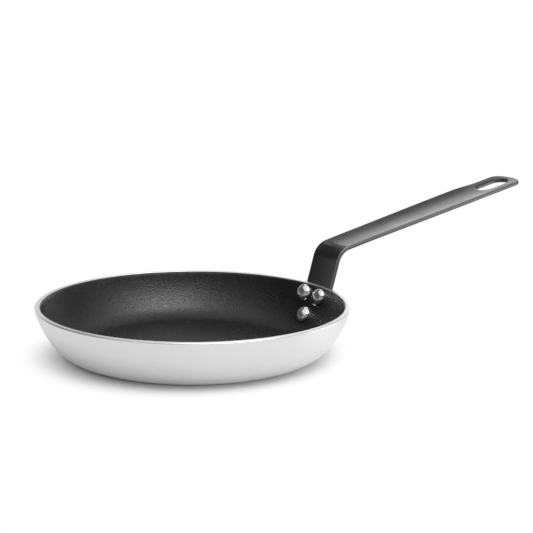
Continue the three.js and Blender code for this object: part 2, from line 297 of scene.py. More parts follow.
def points_object(name: str, points: Sequence[Vector]) -> bpy.types.Object:
    """Make an object of loose points for a node tree to read.

    Args:
        name: the object's name.
        points: the places, in metres.

    Returns:
        The object.
    """
    mesh = bpy.data.meshes.new(name)
    mesh.from_pydata([tuple(p) for p in points], [], [])
    return shown(name, mesh)


def profile_object(name: str, profile: Sequence[Vector]) -> bpy.types.Object:
    """Make an object of a profile's (radius, height) points, which are in millimetres."""
    return points_object(name, [Vector((p.x, 0.0, p.y)) * MM for p in profile])


def baked(
    name: str, source: bpy.types.Object, tree: bpy.types.NodeTree, inputs: Mapping[str, Any]
) -> bpy.types.Object:
    """Run a node tree on an object and keep the result as a plain mesh.

    Args:
        name: the finished piece's name.
        source: the object that carries the tree's geometry, which is removed afterwards.
        tree: the node tree.
        inputs: the tree's input values by name.

    Returns:
        The finished piece, at the origin, with no modifier.
    """
    modifier = source.modifiers.new("shape", "NODES")
    modifier.node_group = tree
    for socket in tree.interface.items_tree:
        if socket.item_type == "SOCKET" and socket.in_out == "INPUT" and socket.name in inputs:
            modifier[socket.identifier] = inputs[socket.name]
    bpy.context.view_layer.update()
    graph = bpy.context.evaluated_depsgraph_get()
    mesh = bpy.data.meshes.new_from_object(source.evaluated_get(graph))
    source.modifiers.clear()
    bpy.data.objects.remove(source)
    closed_outwards(mesh)
    mesh.name = name
    return shown(name, mesh)


@dataclass(frozen=True)
class SpunAluminium:
    """Bare aluminium, pressed and then turned: satin, with fine rings left by the cutting tool."""

    # To the eye: pale grey, with faint rings round it and a soft band of light that runs across them
    colour: str = "e4e4e4"
    groove_shade_share: float = 0.97  # how bright the rings' grooves are beside their crests: painted shade in the grooves
    rim_highlight_colour: str = "eeeeee"  # the rim's top is painted brighter: a painted highlight
    rim_highlight_mm: float = 38.6  # the height from which the rim's painted highlight begins
    roughness: float = 0.42
    roughness_swing: float = 0.05
    anisotropy: float = 0.6
    anisotropy_turn: float = 0.25  # a quarter turn: light spreads across the rings
    ring_mm: float = 1.1  # the real rings are about 0.3 mm apart, too fine to show, so they are coarser
    ring_bump: float = 0.10
    ring_depth_mm: float = 0.2
    band_mm: float = 6.0
    pattern_range: Flat = (0.6, 1.4)  # where nearly all of rings and bands together lies

    def material(self) -> bpy.types.Material:
        """Make the finish: rings that follow the profile, so they run round the wall, rim and base.

        Returns:
            The material.
        """
        material, tree, place = new_material("Spun aluminium")
        axes = add_node(tree, "ShaderNodeSeparateXYZ", {0: place}).outputs
        level = add_node(tree, "ShaderNodeCombineXYZ", {"X": axes["X"], "Y": axes["Y"]})
        radius = add_node(tree, "ShaderNodeVectorMath", {0: level}, operation="LENGTH").outputs["Value"]
        along = add_node(tree, "ShaderNodeMath", {0: radius, 1: axes["Z"]}, operation="ADD")
        rings = add_node(
            tree,
            "ShaderNodeTexNoise",
            {"W": along, "Scale": 1 / (self.ring_mm * MM), "Detail": 3.0, "Roughness": 0.6},
            noise_dimensions="1D",
        )
        bands = add_node(
            tree,
            "ShaderNodeTexNoise",
            {"W": along, "Scale": 1 / (self.band_mm * MM), "Detail": 2.0},
            noise_dimensions="1D",
        )
        pattern = add_node(tree, "ShaderNodeMath", {0: rings, 1: bands}, operation="ADD")
        low, high = self.pattern_range
        swing = {"Value": pattern, "From Min": low, "From Max": high}
        crest_share = add_node(tree, "ShaderNodeMapRange", swing)
        swing["To Min"] = self.roughness - self.roughness_swing
        swing["To Max"] = self.roughness + self.roughness_swing
        rough = add_node(tree, "ShaderNodeMapRange", swing)
        crest = linear(self.colour)
        # The rings' grooves are painted a little darker: painted shade, with the wider bands as random
        # tone
        shaded_groove = (*(self.groove_shade_share * light for light in crest[:3]), 1.0)
        turned = add_node(
            tree,
            "ShaderNodeMix",
            {0: crest_share, COLOUR_A: shaded_groove, COLOUR_B: crest},
            data_type="RGBA",
        )
        # Above that height the rim's top is painted brighter: a painted highlight
        at_rim = {0: axes["Z"], 1: self.rim_highlight_mm * MM}
        rim_highlight_mask = add_node(tree, "ShaderNodeMath", at_rim, operation="GREATER_THAN")
        colour = add_node(
            tree,
            "ShaderNodeMix",
            {0: rim_highlight_mask, COLOUR_A: turned.outputs[COLOUR_RESULT], COLOUR_B: linear(self.rim_highlight_colour)},
            data_type="RGBA",
        )
        relief = {"Height": rings, "Strength": self.ring_bump, "Distance": self.ring_depth_mm * MM}
        shader = add_node(
            tree,
            "ShaderNodeBsdfPrincipled",
            {
                "Base Color": colour.outputs[COLOUR_RESULT],
                "Metallic": 1.0,
                "Roughness": rough,
                "Anisotropic": self.anisotropy,
                "Anisotropic Rotation": self.anisotropy_turn,
                "Tangent": add_node(tree, "ShaderNodeTangent", direction_type="RADIAL", axis="Z"),
                "Normal": add_node(tree, "ShaderNodeBump", relief),
            },
        )
        add_node(tree, "ShaderNodeOutputMaterial", {"Surface": shader})
        return material


@dataclass(frozen=True)
class NonStickFilm:
    """Black fluoropolymer film, sprayed and baked: fine orange peel with faint mineral flecks."""

    # To the eye: near black, with a soft sheen that the orange peel breaks up into fine specks
    colour: str = "0a0a0a"
    fleck_colour: str = "101010"
    fleck_mm: float = 1.5
    fleck_edge: Flat = (0.30, 0.12)  # where a fleck begins and where it is full, in parts of its cell
    roughness: float = 0.25
    roughness_swing: float = 0.09
    ior: float = 1.54
    peel_mm: float = 0.8  # the real peel is about half as wide, too fine to show, so it is coarser
    peel_bump: float = 0.62
    peel_depth_mm: float = 0.5

    def material(self) -> bpy.types.Material:
        """Make the finish.

        Returns:
            The material.
        """
        material, tree, place = new_material("Baked non-stick film")
        peel = add_node(
            tree,
            "ShaderNodeTexNoise",
            {"Vector": place, "Scale": 1 / (self.peel_mm * MM), "Detail": 0.5, "Roughness": 0.6},
        )
        cells = {"Vector": place, "Scale": 1 / (self.fleck_mm * MM), "Randomness": 1.0}
        flecks = add_node(tree, "ShaderNodeTexVoronoi", cells)
        begin, full = self.fleck_edge
        fleck = add_node(
            tree,
            "ShaderNodeMapRange",
            {"Value": flecks.outputs["Distance"], "From Min": begin, "From Max": full},
            interpolation_type="SMOOTHSTEP",
        )
        colour = add_node(
            tree,
            "ShaderNodeMix",
            {0: fleck, COLOUR_A: linear(self.colour), COLOUR_B: linear(self.fleck_colour)},
            data_type="RGBA",
        )
        low, high = NOISE_RANGE
        rough = add_node(
            tree,
            "ShaderNodeMapRange",
            {
                "Value": peel,
                "From Min": low,
                "From Max": high,
                "To Min": self.roughness - self.roughness_swing,
                "To Max": self.roughness + self.roughness_swing,
            },
        )
        relief = {"Height": peel, "Strength": self.peel_bump, "Distance": self.peel_depth_mm * MM}
        shader = add_node(
            tree,
            "ShaderNodeBsdfPrincipled",
            {
                "Base Color": colour.outputs[COLOUR_RESULT],
                "Roughness": rough,
                "IOR": self.ior,
                "Normal": add_node(tree, "ShaderNodeBump", relief),
            },
        )
        add_node(tree, "ShaderNodeOutputMaterial", {"Surface": shader})
        return material


@dataclass(frozen=True)
class BakedBlackSteel:
    """Steel strip with a smooth black epoxy coat, baked on: satin, with a faint orange peel."""

    # To the eye: soft black that mirrors the room dimly, with a thin pale line along the near upper edge,
    # a painted glint drawn as steel showing through the coat
    colour: str = "1a1a1a"
    crest_highlight_colour: str = "222222"  # the peel's crests are painted a little paler: a painted highlight
    glint_colour: str = "a0a0a0"  # the painted glint, as pale steel showing through the coat
    glint_share: float = 0.55  # how much of it shows where the painted glint is strongest
    roughness: float = 0.21
    roughness_swing: Flat = (-0.04, 0.05)
    ior: float = 1.52
    cloud_mm: float = 18.0
    peel_mm: float = 2.2
    peel_bump: float = 0.06
    peel_depth_mm: float = 0.3

    def material(self) -> bpy.types.Material:
        """Make the finish, which reads from the strip where its edge glint is painted.

        Returns:
            The material.
        """
        material, tree, place = new_material("Baked black epoxy on steel")
        peel = add_node(
            tree,
            "ShaderNodeTexNoise",
            {"Vector": place, "Scale": 1 / (self.peel_mm * MM), "Detail": 3.0, "Roughness": 0.55},
        )
        patches = {"Vector": place, "Scale": 1 / (self.cloud_mm * MM), "Detail": 4.0}
        cloud = add_node(tree, "ShaderNodeTexNoise", patches)
        # The peel's crests are painted paler: a painted highlight
        coat = add_node(
            tree,
            "ShaderNodeMix",
            {0: peel, COLOUR_A: linear(self.colour), COLOUR_B: linear(self.crest_highlight_colour)},
            data_type="RGBA",
        )
        # A painted glint along the strip's near upper edge, drawn as pale steel through the coat
        glint_mask = add_node(tree, "ShaderNodeAttribute", attribute_name=EDGE_GLINT).outputs["Fac"]
        glint_amount = add_node(tree, "ShaderNodeMath", {0: glint_mask, 1: self.glint_share}, operation="MULTIPLY")
        colour = add_node(
            tree,
            "ShaderNodeMix",
            {0: glint_amount, COLOUR_A: coat.outputs[COLOUR_RESULT], COLOUR_B: linear(self.glint_colour)},
            data_type="RGBA",
        )
        low, high = NOISE_RANGE
        down, up = self.roughness_swing
        rough = add_node(
            tree,
            "ShaderNodeMapRange",
            {
                "Value": cloud,
                "From Min": low,
                "From Max": high,
                "To Min": self.roughness + down,
                "To Max": self.roughness + up,
            },
        )
        relief = {"Height": peel, "Strength": self.peel_bump, "Distance": self.peel_depth_mm * MM}
        shader = add_node(
            tree,
            "ShaderNodeBsdfPrincipled",
            {
                "Base Color": colour.outputs[COLOUR_RESULT],
                "Metallic": glint_amount,
                "Roughness": rough,
                "IOR": self.ior,
                "Normal": add_node(tree, "ShaderNodeBump", relief),
            },
        )
        add_node(tree, "ShaderNodeOutputMaterial", {"Surface": shader})
        return material


@dataclass(frozen=True)
class PolishedRivet:
    """Soft aluminium rivet, headed in a polished die: bright, with faint ripples from the blow."""

    # To the eye: a small bright mirror of the room, with softly bent reflections
    colour: str = "e6e6e6"
    roughness: float = 0.14
    roughness_swing: Flat = (-0.03, 0.06)
    ripple_mm: float = 4.0
    ripple_bump: float = 0.08
    ripple_depth_mm: float = 0.5

    def material(self) -> bpy.types.Material:
        """Make the finish.

        Returns:
            The material.
        """
        material, tree, place = new_material("Polished aluminium rivet")
        waves = {"Vector": place, "Scale": 1 / (self.ripple_mm * MM), "Detail": 2.0}
        ripple = add_node(tree, "ShaderNodeTexNoise", waves)
        low, high = NOISE_RANGE
        down, up = self.roughness_swing
        rough = add_node(
            tree,
            "ShaderNodeMapRange",
            {
                "Value": ripple,
                "From Min": low,
                "From Max": high,
                "To Min": self.roughness + down,
                "To Max": self.roughness + up,
            },
        )
        relief = {"Height": ripple, "Strength": self.ripple_bump, "Distance": self.ripple_depth_mm * MM}
        shader = add_node(
            tree,
            "ShaderNodeBsdfPrincipled",
            {
                "Base Color": linear(self.colour),
                "Metallic": 1.0,
                "Roughness": rough,
                "Normal": add_node(tree, "ShaderNodeBump", relief),
            },
        )
        add_node(tree, "ShaderNodeOutputMaterial", {"Surface": shader})
        return material


@dataclass
class Dish:
    """The spun dish and its film. Sizes are in millimetres."""

    rim_diameter: float = 240.0
    height: float = 38.8
    wall: float = 4.0
    heel_radius: float = 28.0  # of the arc from the flat base into the wall
    wall_radius: float = 75.0
    rim_lean: float = math.radians(14.3)  # how far the wall leans out at the rim
    rim_outer_round: float = 1.0
    rim_inner_round: float = 0.4
    film: float = 0.3  # drawn thicker than the real film, as its solid is
    arc_steps: int = 20
    round_steps: int = 5
    floor_steps: int = 6
    steps_around: int = 288
    pieces: list[bpy.types.Object] = field(default_factory=list)

    @property
    def wall_centre(self) -> Vector:
        """The centre of the wall's arc in profile."""
        return Vector(
            (
                self.rim_diameter / 2 - self.wall_radius * math.cos(self.rim_lean),
                self.height + self.wall_radius * math.sin(self.rim_lean),
            )
        )

    @property
    def heel_sweep(self) -> float:
        """The angle of the heel's arc, from the base to where the wall's arc takes over."""
        return math.acos(
            (self.wall_centre.y - self.heel_radius) / (self.wall_radius - self.heel_radius)
        )

    @property
    def heel_centre(self) -> Vector:
        """The centre of the heel's arc in profile."""
        reach = (self.wall_radius - self.heel_radius) * math.sin(self.heel_sweep)
        return Vector((self.wall_centre.x + reach, self.heel_radius))

    @staticmethod
    def on_arc(centre: Vector, radius: float, angle: float) -> Vector:
        """The point of an arc at an angle from straight down."""
        return centre + radius * Vector((math.sin(angle), -math.cos(angle)))

    def arc(self, centre: Vector, radius: float, start: float, end: float) -> list[Vector]:
        """Sample an arc.

        Args:
            centre: its centre in profile.
            radius: its radius.
            start: the first angle, from straight down.
            end: the last angle.

        Returns:
            Points from start to end.
        """
        steps = range(self.arc_steps + 1)
        return [self.on_arc(centre, radius, start + (end - start) * i / self.arc_steps) for i in steps]

    def profile(self, depth: float) -> list[Vector]:
        """The dish's surface at a depth below its outside, from the flat base up to the rim's plane.

        Args:
            depth: how far below the outside.

        Returns:
            (radius, height) points.
        """
        top = math.acos((self.wall_centre.y - self.height) / (self.wall_radius - depth))
        heel = self.arc(self.heel_centre, self.heel_radius - depth, 0.0, self.heel_sweep)
        wall = self.arc(self.wall_centre, self.wall_radius - depth, self.heel_sweep, top)
        return heel + wall[1:]

    def rounded(self, before: Vector, corner: Vector, after: Vector, radius: float) -> list[Vector]:
        """Replace a corner by an arc.

        Args:
            before: a point on the edge that comes in.
            corner: the corner.
            after: a point on the edge that goes out.
            radius: the arc's radius.

        Returns:
            The arc's points.
        """
        back = (before - corner).normalized()
        on = (after - corner).normalized()
        half = math.acos(back.dot(on)) / 2
        centre = corner + (back + on).normalized() * radius / math.sin(half)
        start = corner + back * radius / math.tan(half) - centre
        turn = (math.pi - 2 * half) * math.copysign(1.0, on.cross(back))
        return [
            Matrix.Rotation(turn * i / self.round_steps, 2) @ start + centre
            for i in range(self.round_steps + 1)
        ]

    def floor_points(self, radius: float, height: float) -> list[Vector]:
        """Points along the flat floor from the axis outwards, so that its faces stay small."""
        return [Vector((radius * i / self.floor_steps, height)) for i in range(self.floor_steps)]

    def body_profile(self) -> list[Vector]:
        """The closed profile of the dish itself.

        Returns:
            (radius, height) points, from the axis under the base to the axis on the floor.
        """
        outside = self.profile(0.0)
        inside = self.profile(self.wall)[::-1]
        outer, inner = outside.pop(), inside.pop(0)
        return [
            *self.floor_points(self.heel_centre.x, 0.0),
            *outside,
            *self.rounded(outside[-1], outer, inner, self.rim_outer_round),
            *self.rounded(outer, inner, inside[0], self.rim_inner_round),
            *inside,
            *self.floor_points(self.heel_centre.x, self.wall)[::-1],
        ]

    def film_profile(self) -> list[Vector]:
        """The closed profile of the film on the inside.

        Returns:
            (radius, height) points.
        """
        against = self.profile(self.wall)
        skin = self.profile(self.wall + self.film)[::-1]
        corner = against.pop()
        outwards = Vector((self.rim_diameter / 2, corner.y))
        edge = self.rounded(outwards, corner, against[-1], self.rim_inner_round)[-1]
        return [
            *self.floor_points(self.heel_centre.x, self.wall),
            *against,
            edge,
            *skin[1:],
            *self.floor_points(self.heel_centre.x, self.wall + self.film)[::-1],
        ]

    def build(self, revolve: bpy.types.NodeTree, metal: SpunAluminium, film: NonStickFilm) -> None:
        """Turn the dish and its film, each with its finish.

        Args:
            revolve: the tree that turns a profile.
            metal: the dish's finish.
            film: the film's finish.
        """
        parts = (
            ("spun_dish", self.body_profile(), metal.material()),
            ("nonstick_coat", self.film_profile(), film.material()),
        )
        for name, profile, material in parts:
            source = profile_object(name + "_profile", profile)
            inputs = {
                "Profile points": len(profile),
                "Steps around": self.steps_around,
                "Material": material,
            }
            self.pieces.append(baked(name, source, revolve, inputs))

    def dress(self) -> None:
        """Tie the dish and its film to their solids and the body."""
        metal, film = self.pieces
        tie(metal, Slot.DISH, "pan_body")
        tie(film, Slot.FILM, "nonstick_lining")


@dataclass(frozen=True)
class RoundedEnd:
    """An end of the strip: an arc across it, with rounded corners, in millimetres."""

    half: float  # of the strip's width
    bulge: float  # radius of the arc across the end
    corner: float  # radius of its corners
    arc_steps: int = 8
    corner_steps: int = 6

    @property
    def reach(self) -> float:
        """How far from the end the strip is first at its full width."""
        return self.bulge - math.sqrt((self.bulge - self.corner) ** 2 - (self.half - self.corner) ** 2)

    def half_width(self, gap: float) -> float:
        """Half of the strip's width near the end.

        Args:
            gap: distance from the end.

        Returns:
            The half width there.
        """
        meeting = self.bulge - (self.bulge - self.reach) * self.bulge / (self.bulge - self.corner)
        if gap >= self.reach:
            return self.half
        if gap >= meeting:
            return self.half - self.corner + math.sqrt(self.corner**2 - (self.reach - gap) ** 2)
        return math.sqrt(self.bulge**2 - (self.bulge - max(gap, 0.0)) ** 2)

    def side(self) -> list[Flat]:
        """One side of the end, from its middle to where the full width begins.

        Returns:
            (distance from the end, sideways) points.
        """
        turn = math.asin((self.half - self.corner) / (self.bulge - self.corner))
        points = []
        for i in range(self.arc_steps):
            angle = turn * i / self.arc_steps
            points.append((self.bulge * (1 - math.cos(angle)), self.bulge * math.sin(angle)))
        for i in range(self.corner_steps + 1):
            angle = turn + (math.pi / 2 - turn) * i / self.corner_steps
            sideways = self.half - self.corner + self.corner * math.sin(angle)
            points.append((self.reach - self.corner * math.cos(angle), sideways))
        return points


@dataclass
class StripHandle:
    """The bent strip: riveted pad, neck, bend, gutter-shaped grip and slotted tip, in millimetres."""

    dish: Dish
    thickness: float = 3.4
    edge_round: float = 0.9
    seat: float = 0.3  # clearance between the wall and the strip
    neck_lean: float = math.radians(17.0)
    shoulder_height: float = 68.2
    bend_inner_radius: float = 12.0
    grip_rise: float = math.radians(11.4)
    grip_length: float = 201.0
    pad_foot: float = 8.0  # how far the pad runs on below the lower rivet
    pad_foot_width: float = 24.0
    pad_width: float = 39.0
    neck_width: float = 31.2
    grip_width: float = 35.2
    tip_width: float = 32.4
    pad_foot_bulge: float = 16.0
    pad_foot_corner: float = 6.0
    tip_bulge: float = 26.0
    tip_corner: float = 9.0
    neck_dish: float = 120.0  # radius of the hollow across the strip, here and in the next two
    grip_dish: float = 100.0
    tip_dish: float = 160.0
    gutter_start: float = 32.0  # from the shoulder to where the grip's hollow is full
    gutter_end: float = 50.0  # from the tip back to where it starts to flatten
    tip_flat: float = 26.0  # from the tip back to where the tip's own hollow and width begin
    widest_at: float = 148.0  # from the shoulder
    glint_from: float = 9.0  # how far to the side the painted edge glint starts, outside the slot's edge
    glint_full: float = 13.0
    slot_length: float = 31.5
    slot_width: float = 16.5
    slot_end_land: float = 6.6  # between the slot and the tip's end
    rivet_pair_height: float = 29.2
    rivet_lower_height: float = 13.3
    spacing: float = 1.6  # of the mesh's points
    clear_share: float = 0.6  # of that spacing, which the inner points keep from the edges
    slot_share: float = 0.9  # of the edge round, within which a face beside the slot lies in it
    same_point: float = 1e-6  # within which two points of the flat strip are one
    edge_steps: int = 4
    slot_steps: int = 16
    pieces: list[bpy.types.Object] = field(default_factory=list)

    def __post_init__(self) -> None:
        """Work out the lengths along the strip's inner face."""
        dish = self.dish
        self.bend_radius = self.bend_inner_radius + self.thickness
        self.bend_sweep = math.pi / 2 - self.neck_lean - self.grip_rise
        self.neck_way = Vector((math.sin(self.neck_lean), math.cos(self.neck_lean)))
        self.grip_way = Vector((math.cos(self.grip_rise), math.sin(self.grip_rise)))
        self.neck_start = dish.on_arc(
            dish.wall_centre, dish.wall_radius + self.seat, math.pi / 2 - self.neck_lean
        )
        rise = (self.shoulder_height - self.neck_start.y) / self.neck_way.y
        self.shoulder = self.neck_start + self.neck_way * rise
        self.bend_reach = self.bend_radius * math.tan(self.bend_sweep / 2)
        self.bend_start = self.shoulder - self.neck_way * self.bend_reach
        side = Vector((self.neck_way.y, -self.neck_way.x))
        self.bend_centre = self.bend_start + side * self.bend_radius
        self.heel_length = (dish.heel_radius + self.seat) * dish.heel_sweep
        self.at_lower_rivet = self.along_wall(self.rivet_lower_height)
        self.at_rivet_pair = self.along_wall(self.rivet_pair_height)
        self.at_foot = self.at_lower_rivet - self.pad_foot
        sweep = math.pi / 2 - self.neck_lean - dish.heel_sweep
        self.at_neck = self.heel_length + (dish.wall_radius + self.seat) * sweep
        self.at_bend = self.at_neck + (self.bend_start - self.neck_start).length
        self.at_grip = self.at_bend + self.bend_radius * self.bend_sweep
        self.at_shoulder = self.at_grip - self.bend_reach
        self.at_tip = self.at_shoulder + self.grip_length
        self.at_slot = self.at_tip - self.slot_end_land - self.slot_length / 2
        self.slot_straight = (self.slot_length - self.slot_width) / 2
        self.foot_end = RoundedEnd(self.pad_foot_width / 2, self.pad_foot_bulge, self.pad_foot_corner)
        self.tip_end = RoundedEnd(self.tip_width / 2, self.tip_bulge, self.tip_corner)

    def along_wall(self, height: float) -> float:
        """Find where along the strip it passes a height on the wall's outside.

        Args:
            height: the height above the base.

        Returns:
            The distance along the strip.
        """
        dish = self.dish
        angle = math.acos((dish.wall_centre.y - height) / dish.wall_radius)
        return self.heel_length + (dish.wall_radius + self.seat) * (angle - dish.heel_sweep)

    def line(self, distance: float) -> tuple[Vector, Vector]:
        """The strip's inner face in side view.

        Args:
            distance: how far along it.

        Returns:
            The place there and the direction along the strip.
        """
        dish = self.dish
        if distance < self.heel_length:
            angle = distance / (dish.heel_radius + self.seat)
            place = dish.on_arc(dish.heel_centre, dish.heel_radius + self.seat, angle)
            return place, Vector((math.cos(angle), math.sin(angle)))
        if distance < self.at_neck:
            reach = dish.wall_radius + self.seat
            angle = dish.heel_sweep + (distance - self.heel_length) / reach
            place = dish.on_arc(dish.wall_centre, reach, angle)
            return place, Vector((math.cos(angle), math.sin(angle)))
        if distance < self.at_bend:
            return self.neck_start + self.neck_way * (distance - self.at_neck), self.neck_way
        if distance < self.at_grip:
            angle = math.pi - self.neck_lean - (distance - self.at_bend) / self.bend_radius
            spoke = Vector((math.cos(angle), math.sin(angle)))
            return self.bend_centre + spoke * self.bend_radius, Vector((spoke.y, -spoke.x))
        return self.shoulder + self.grip_way * (distance - self.at_shoulder), self.grip_way

    def half_width(self, distance: float) -> float:
        """Half of the strip's width, with rounded ends.

        Args:
            distance: how far along the strip.

        Returns:
            The half width there.
        """
        if distance < self.at_foot + self.foot_end.reach:
            return self.foot_end.half_width(distance - self.at_foot)
        if distance > self.at_tip - self.tip_end.reach:
            return self.tip_end.half_width(self.at_tip - distance)
        stops = [
            (self.at_lower_rivet, self.pad_foot_width),
            (self.at_rivet_pair, self.pad_width),
            (self.at_neck, self.neck_width),
            (self.at_grip, self.neck_width),
            (self.at_shoulder + self.widest_at, self.grip_width),
            (self.at_tip - self.tip_flat, self.tip_width),
        ]
        return eased(stops, distance) / 2

    def hollow(self, distance: float) -> float:
        """The hollow across the strip, as half of its curvature.

        Args:
            distance: how far along the strip.

        Returns:
            Rise at the edges for each square millimetre of half width.
        """
        place, way = self.line(distance)
        neck = 0.5 / self.neck_dish
        grip = 0.5 / self.grip_dish
        stops = [
            (self.at_neck, way.y / (2 * place.x)),
            (self.at_bend, neck),
            (self.at_grip, neck),
            (self.at_shoulder + self.gutter_start, grip),
            (self.at_tip - self.gutter_end, grip),
            (self.at_tip - self.tip_flat, 0.5 / self.tip_dish),
        ]
        return eased(stops, distance)

    def placed(self, flat: Flat, depth: float) -> Vector:
        """Bend a point of the flat strip into place.

        Args:
            flat: distance along the strip and sideways.
            depth: how far below the inner face.

        Returns:
            The place in metres.
        """
        distance, side = flat
        place, way = self.line(distance)
        off = self.hollow(distance) * side * side - depth
        return Vector((place.x - off * way.y, side, place.y + off * way.x)) * MM

    def outline(self) -> list[Flat]:
        """The flat strip's outline, anticlockwise from the middle of the foot.

        Returns:
            (distance, sideways) points.
        """
        start = self.at_foot + self.foot_end.reach
        end = self.at_tip - self.tip_end.reach
        count = round((end - start) / self.spacing)
        edge = [(self.at_foot + gap, side) for gap, side in self.foot_end.side()]
        for i in range(1, count):
            distance = start + (end - start) * i / count
            edge.append((distance, self.half_width(distance)))
        edge += [(self.at_tip - gap, side) for gap, side in reversed(self.tip_end.side())]
        right = [(distance, -side) for distance, side in edge]
        return right + edge[-2:0:-1]

    def slot_outline(self) -> list[Flat]:
        """The hanging slot's outline in the flat strip, anticlockwise.

        Returns:
            (distance, sideways) points.
        """
        radius = self.slot_width / 2
        straight = self.slot_straight
        steps = max(2, round(2 * straight / self.spacing))
        points: list[Flat] = []
        for end, first in ((1, -math.pi / 2), (-1, math.pi / 2)):
            for i in range(self.slot_steps + 1):
                angle = first + math.pi * i / self.slot_steps
                along = end * straight + radius * math.cos(angle)
                points.append((self.at_slot + along, radius * math.sin(angle)))
            side = end * radius
            for i in range(1, steps):
                points.append((self.at_slot + end * straight * (1 - 2 * i / steps), side))
        return points

    def from_slot(self, distance: float, side: float) -> float:
        """How far a point of the flat strip is from the line between the slot's two round ends."""
        return math.hypot(max(0.0, abs(distance - self.at_slot) - self.slot_straight), side)

    @staticmethod
    def offset(ring: Sequence[Flat], inset: float) -> list[Flat]:
        """Move an anticlockwise ring to its left, which is inwards.

        Args:
            ring: the outline.
            inset: how far.

        Returns:
            The moved ring.
        """
        moved = []
        for i, (x, y) in enumerate(ring):
            (ax, ay), (bx, by) = ring[i - 1], ring[(i + 1) % len(ring)]
            length = math.hypot(bx - ax, by - ay)
            moved.append((x - (by - ay) / length * inset, y + (bx - ax) / length * inset))
        return moved

    def filled(self, outer: Sequence[Flat], hole: Sequence[Flat]) -> tuple[list[Flat], list[list[int]]]:
        """Fill the flat strip between its outline and its slot with even triangles.

        Args:
            outer: the outline.
            hole: the slot's outline.

        Returns:
            Points, with the outline's first and the slot's next, and triangles.
        """
        points = [Vector(p) for p in (*outer, *hole)]
        edges = []
        for first, count in ((0, len(outer)), (len(outer), len(hole))):
            edges += [(first + i, first + (i + 1) % count) for i in range(count)]
        clear = self.edge_round + self.spacing * self.clear_share
        length = self.at_tip - self.at_foot
        rows = int(length / self.spacing)
        for i in range(1, rows):
            distance = self.at_foot + length * i / rows
            limit = self.half_width(distance) - clear
            columns = max(1, int(limit / self.spacing))
            for j in range(-columns, columns + 1):
                side = limit * j / columns
                if self.from_slot(distance, side) > self.slot_width / 2 + clear:
                    points.append(Vector((distance, side)))
        placed, _, faces, origins, _, _ = delaunay_2d_cdt(points, edges, [], 1, self.same_point)
        given = [found[0] for found in origins]
        hole_reach = self.slot_width / 2 + self.edge_round * self.slot_share
        kept = []
        for face in faces:
            centre = sum((placed[i] for i in face), Vector((0.0, 0.0))) / 3
            if self.from_slot(centre.x, centre.y) > hole_reach:
                kept.append([given[i] for i in face])
        return [(p.x, p.y) for p in points], kept

    def edge_glint(self, inward: float, depth: float, side: float) -> float:
        """How strongly the upper edge is painted as a glint of pale steel, on the side towards the
        camera.

        Args:
            inward: how far in from the outline.
            depth: how far below the inner face.
            side: how far sideways, negative on the side with the painted glint.

        Returns:
            0 where no glint is painted, 1 where it is strongest, half way round the edge.
        """
        if depth > self.edge_round:
            return 0.0
        half_way = self.edge_round * (1 - math.sqrt(0.5))  # both ways, to the middle of the edge's round
        round_share = inward * depth / half_way**2
        return round_share * smoothstep(self.glint_from, self.glint_full, -side)

    def edge_levels(self) -> list[Flat]:
        """The strip's edge in section, rounded above and below.

        Returns:
            (how far in from the outline, how far below the inner face) points, downwards.
        """
        angles = [math.pi / 2 * i / self.edge_steps for i in range(self.edge_steps + 1)]
        upper = [
            (self.edge_round * (1 - math.sin(a)), self.edge_round * (1 - math.cos(a))) for a in angles
        ]
        return upper + [(inward, self.thickness - depth) for inward, depth in reversed(upper)]

    def build(self, finish: BakedBlackSteel) -> None:
        """Make the strip from its flat outline, bent into place, with rounded edges.

        Args:
            finish: the strip's coat.
        """
        rims = (self.outline(), self.slot_outline()[::-1])
        inset = [self.offset(rim, self.edge_round) for rim in rims]
        flat, triangles = self.filled(*inset)
        work = bmesh.new()
        glint_layer = work.verts.layers.float.new(EDGE_GLINT)
        top = [work.verts.new(self.placed(p, 0.0)) for p in flat]
        bottom = [work.verts.new(self.placed(p, self.thickness)) for p in flat]
        for a, b, c in triangles:
            work.faces.new((top[a], top[b], top[c]))
            work.faces.new((bottom[c], bottom[b], bottom[a]))
        first = 0
        for rim in rims:
            count = len(rim)
            loops = [top[first : first + count]]
            for inward, depth in self.edge_levels()[1:-1]:
                ring = self.offset(rim, inward)
                loops.append([work.verts.new(self.placed(p, depth)) for p in ring])
                # The near upper edge's painted glint
                for vertex, (_, side) in zip(loops[-1], ring):
                    vertex[glint_layer] = self.edge_glint(inward, depth, side)
            loops.append(bottom[first : first + count])
            for upper, lower in zip(loops, loops[1:]):
                for i in range(count):
                    j = (i + 1) % count
                    work.faces.new((upper[i], lower[i], lower[j], upper[j]))
            first += count
        mesh = bpy.data.meshes.new("strip_handle")
        loose = [v for v in work.verts if not v.link_faces]
        bmesh.ops.delete(work, geom=loose, context="VERTS")
        work.to_mesh(mesh)
        work.free()
        closed_outwards(mesh)
        mesh.materials.append(finish.material())
        self.pieces.append(shown("strip_handle", mesh))

    def dress(self) -> None:
        """Tie the strip to its solid and the body."""
        tie(self.pieces[0], Slot.STRIP, "handle_strip")


